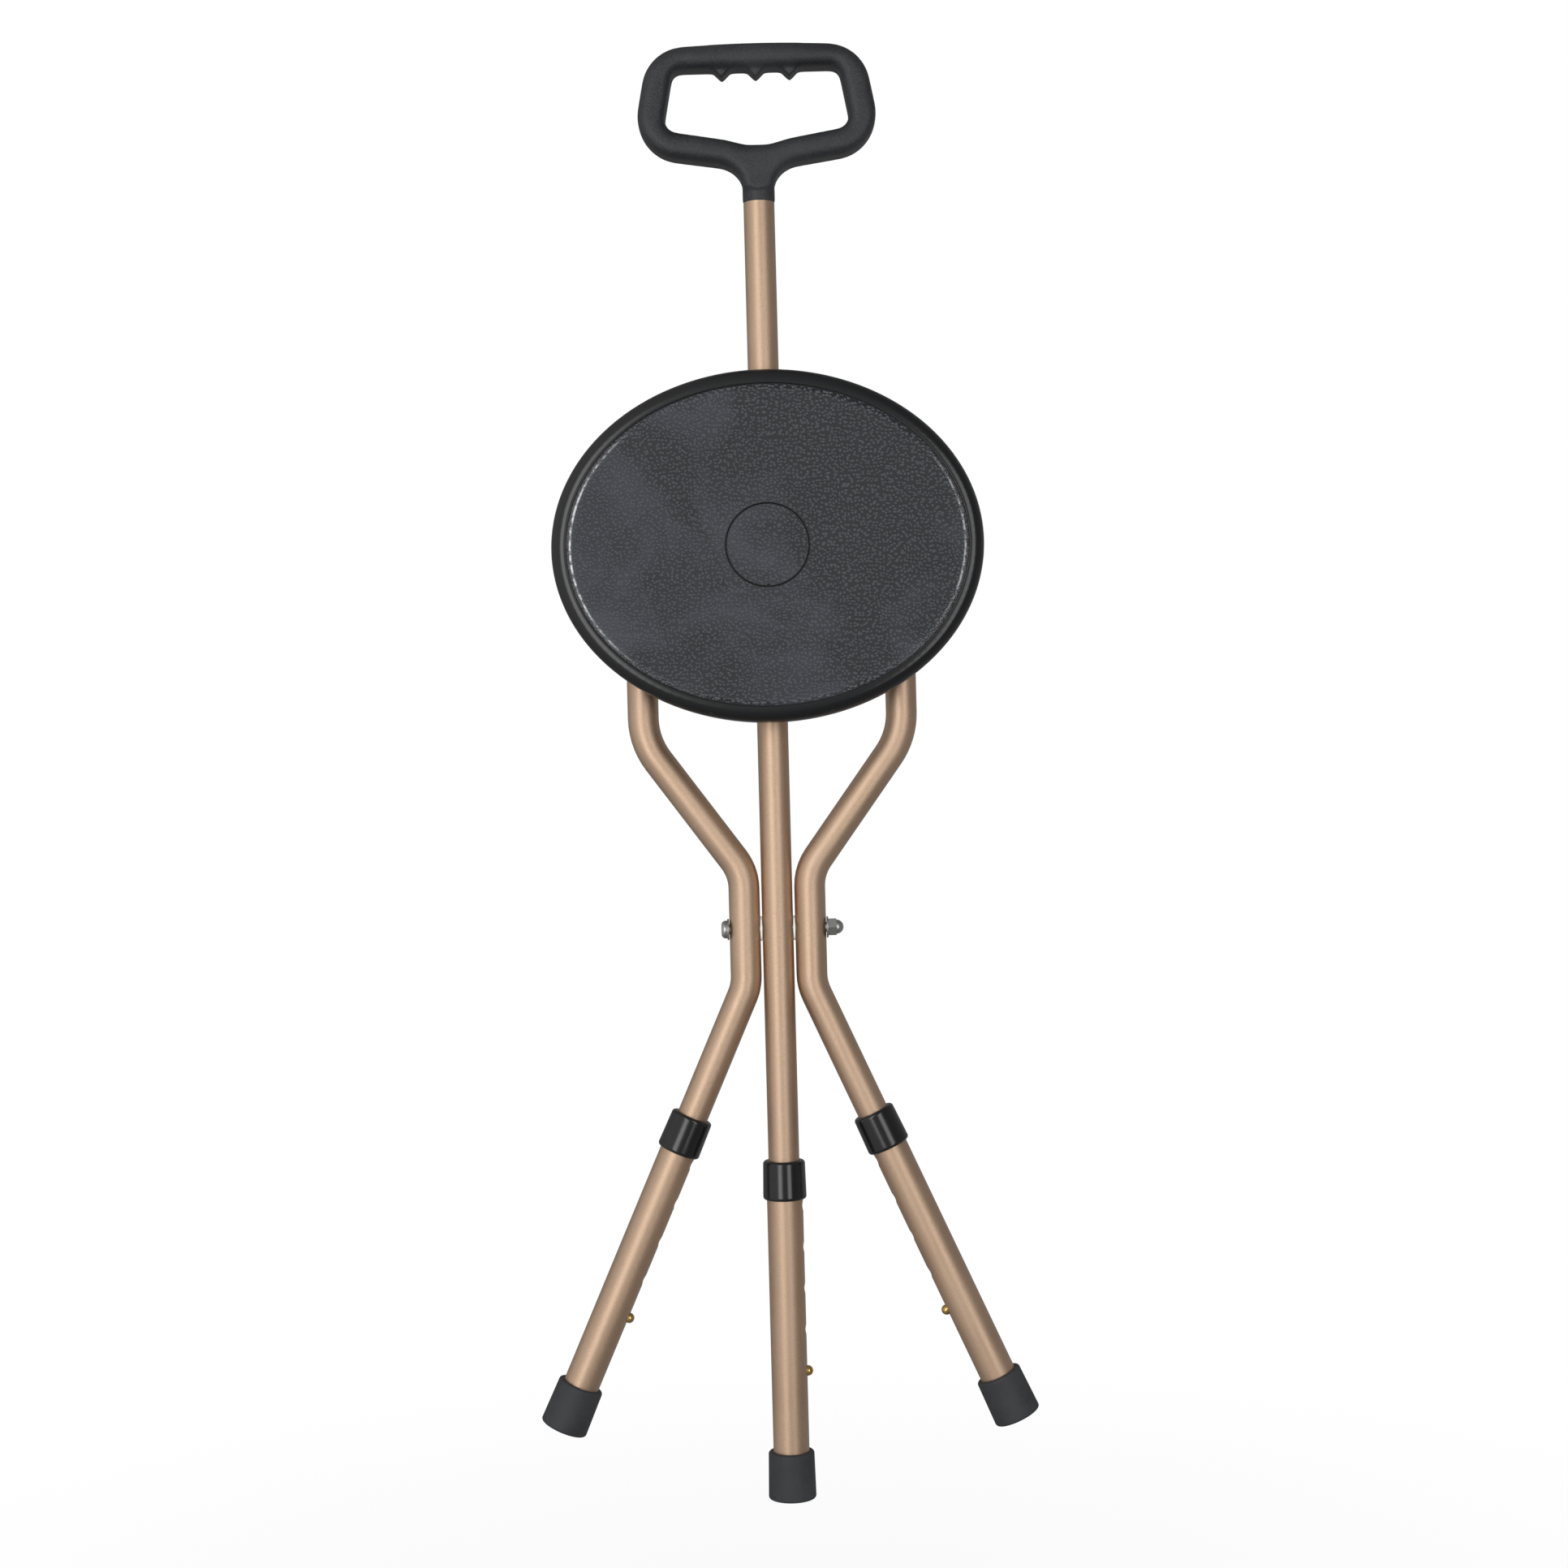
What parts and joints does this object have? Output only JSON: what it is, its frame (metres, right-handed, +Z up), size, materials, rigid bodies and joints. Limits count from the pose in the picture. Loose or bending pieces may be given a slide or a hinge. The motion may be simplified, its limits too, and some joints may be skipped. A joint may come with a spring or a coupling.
{
  "type": "walking stick seat",
  "caption": "Walking cane that opens to a tripod seat: loop handle, tubular legs, oval seat pan and height-adjustable rubber-tipped feet.",
  "frame": {"origin": "centre of the sole of the shaft's rubber tip", "axes": "+Z up along the shaft, +X to the right leg, -Y to the side the folded seat faces"},
  "size_m": [0.3058, 0.0525, 0.8946],
  "materials": {
    "handle_plastic": "fine matte texture",
    "bronze_tube": "satin bronze anodised",
    "seat_plastic": "pebble grain",
    "black_plastic": "smooth moulded",
    "gloss_collar": "glossy moulded",
    "tip_rubber": "matte",
    "nylon": "smooth",
    "brass": "polished",
    "spring_steel": "plain",
    "zinc_steel": "zinc plated"
  },
  "bodies": {
    "shaft": {"handle": "handle_plastic", "shaft_tube": "bronze_tube", "hub_bolt": "zinc_steel", "hub_nut": "zinc_steel", "hub_spacers": "nylon", "hub_washers": "zinc_steel", "slide_stop_pin": "zinc_steel", "shaft_button_spring": "spring_steel"},
    "shaft_foot": {"shaft_lower_tube": "bronze_tube", "shaft_collar": "gloss_collar", "shaft_rubber_tip": "tip_rubber", "shaft_tip_disc": "zinc_steel"},
    "shaft_snap_button": {"shaft_button": "brass"},
    "legs": {"left_leg_tube": "bronze_tube", "right_leg_tube": "bronze_tube", "left_leg_plug": "black_plastic", "right_leg_plug": "black_plastic", "left_button_spring": "spring_steel", "right_button_spring": "spring_steel"},
    "left_foot": {"left_lower_tube": "bronze_tube", "left_collar": "gloss_collar", "left_rubber_tip": "tip_rubber", "left_tip_disc": "zinc_steel"},
    "right_foot": {"right_lower_tube": "bronze_tube", "right_collar": "gloss_collar", "right_rubber_tip": "tip_rubber", "right_tip_disc": "zinc_steel"},
    "left_snap_button": {"left_button": "brass"},
    "right_snap_button": {"right_button": "brass"},
    "seat": {"seat_pan": "seat_plastic", "seat_cap": "seat_plastic", "left_leg_bracket": "zinc_steel", "right_leg_bracket": "zinc_steel", "bracket_screws": "zinc_steel", "left_pivot_pin": "zinc_steel", "right_pivot_pin": "zinc_steel", "slide_hinge_pin": "zinc_steel"},
    "slide": {"slide_collar": "black_plastic"}
  },
  "joints": [
    {"name": "legs_fold", "type": "hinge", "parent": "shaft", "child": "legs", "pos_m": [0, 0, 0.3508], "axis": [1, 0, 0], "range_deg": [0, 54.12]},
    {"name": "seat_tilt", "type": "hinge", "parent": "legs", "child": "seat", "pos_m": [0, 0, 0.51908], "axis": [1, 0, 0], "range_deg": [-109.17, 0]},
    {"name": "slide_collar_tilt", "type": "hinge", "parent": "seat", "child": "slide", "pos_m": [0, -0.026, 0.672], "axis": [1, 0, 0], "range_deg": [0, 55.05]},
    {"name": "shaft_foot_height", "type": "slide", "parent": "shaft", "child": "shaft_foot", "axis": [0, 0, -1], "range_m": [0, 0.1016], "deforming": ["shaft_button"]},
    {"name": "left_foot_height", "type": "slide", "parent": "legs", "child": "left_foot", "axis": [-0.4067, 0, -0.9135], "range_m": [0, 0.1016], "deforming": ["left_button"]},
    {"name": "right_foot_height", "type": "slide", "parent": "legs", "child": "right_foot", "axis": [0.4067, 0, -0.9135], "range_m": [0, 0.1016], "deforming": ["right_button"]},
    {"name": "shaft_button_press", "type": "slide", "parent": "shaft", "child": "shaft_snap_button", "axis": [-1, 0, 0], "range_m": [0, 0.005], "stiffness_N_per_m": 800},
    {"name": "left_button_press", "type": "slide", "parent": "legs", "child": "left_snap_button", "axis": [-0.9135, 0, 0.4067], "range_m": [0, 0.005], "stiffness_N_per_m": 800},
    {"name": "right_button_press", "type": "slide", "parent": "legs", "child": "right_snap_button", "axis": [0.9135, 0, 0.4067], "range_m": [0, 0.005], "stiffness_N_per_m": 800}
  ],
  "couplings": [
    {"joint": "seat_tilt", "follows": "legs_fold", "ratio": -2.0162},
    {"joint": "slide_collar_tilt", "follows": "legs_fold", "ratio": 1.0162}
  ]
}
